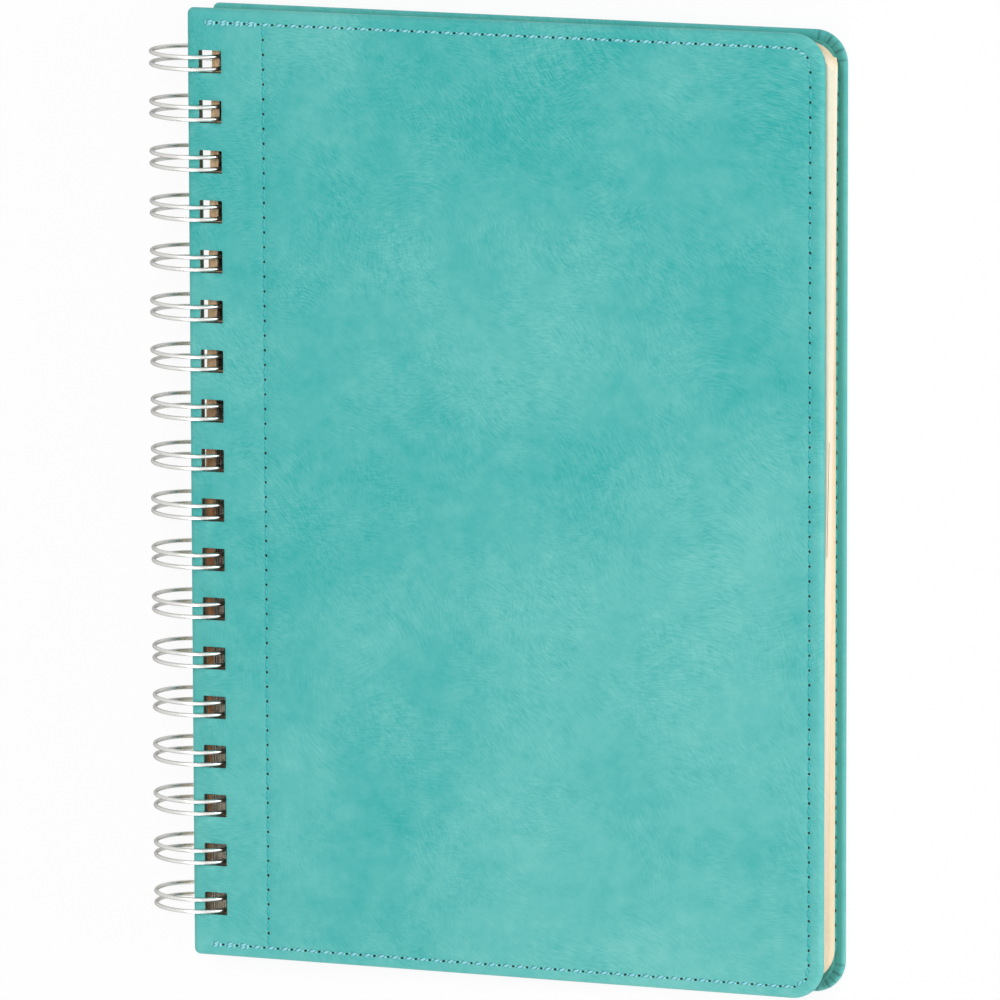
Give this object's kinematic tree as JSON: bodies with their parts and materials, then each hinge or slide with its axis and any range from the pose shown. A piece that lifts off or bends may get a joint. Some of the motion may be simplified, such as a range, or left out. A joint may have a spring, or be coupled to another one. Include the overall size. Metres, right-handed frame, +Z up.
{
  "type": "spiral notebook",
  "caption": "Hard-cover notebook with stitched leatherette covers, rounded fore-edge corners and a block of cream pages on a silver twin-loop wire, lying on its back cover.",
  "frame": {"origin": "middle of the bounding box on the table, with the notebook lying on its back cover", "axes": "+Z up, +Y along the spine to the head, the wire on the -X side and the fore-edge on the +X side"},
  "size_m": [0.1839, 0.243, 0.0222],
  "materials": {
    "leatherette": "turquoise leatherette with soft clouds and fine brushed strokes",
    "board": "grey-brown bookbinding board, seen in the punched holes",
    "lining": "turquoise lining sheet, matt",
    "thread": "turquoise sewing thread",
    "pages": "cream uncoated paper",
    "wire": "satin silver coated wire"
  },
  "bodies": {
    "back_cover": {"back_wrap": "leatherette", "back_board": "board", "back_lining": "lining", "back_edge_stitching": "thread", "back_row_stitching": "thread"},
    "text_block": {"page_block": "pages", "binding_wire": "wire"},
    "front_cover": {"front_wrap": "leatherette", "front_board": "board", "front_lining": "lining", "front_edge_stitching": "thread", "front_row_stitching": "thread"}
  },
  "joints": [
    {"name": "block_turn", "type": "hinge", "parent": "back_cover", "child": "text_block", "pos_m": [-0.08082, 0, 0.0111], "axis": [0, -1, 0], "range_deg": [0, 180]},
    {"name": "cover_turn", "type": "hinge", "parent": "text_block", "child": "front_cover", "pos_m": [-0.08082, 0, 0.0111], "axis": [0, -1, 0], "range_deg": [0, 180]}
  ]
}
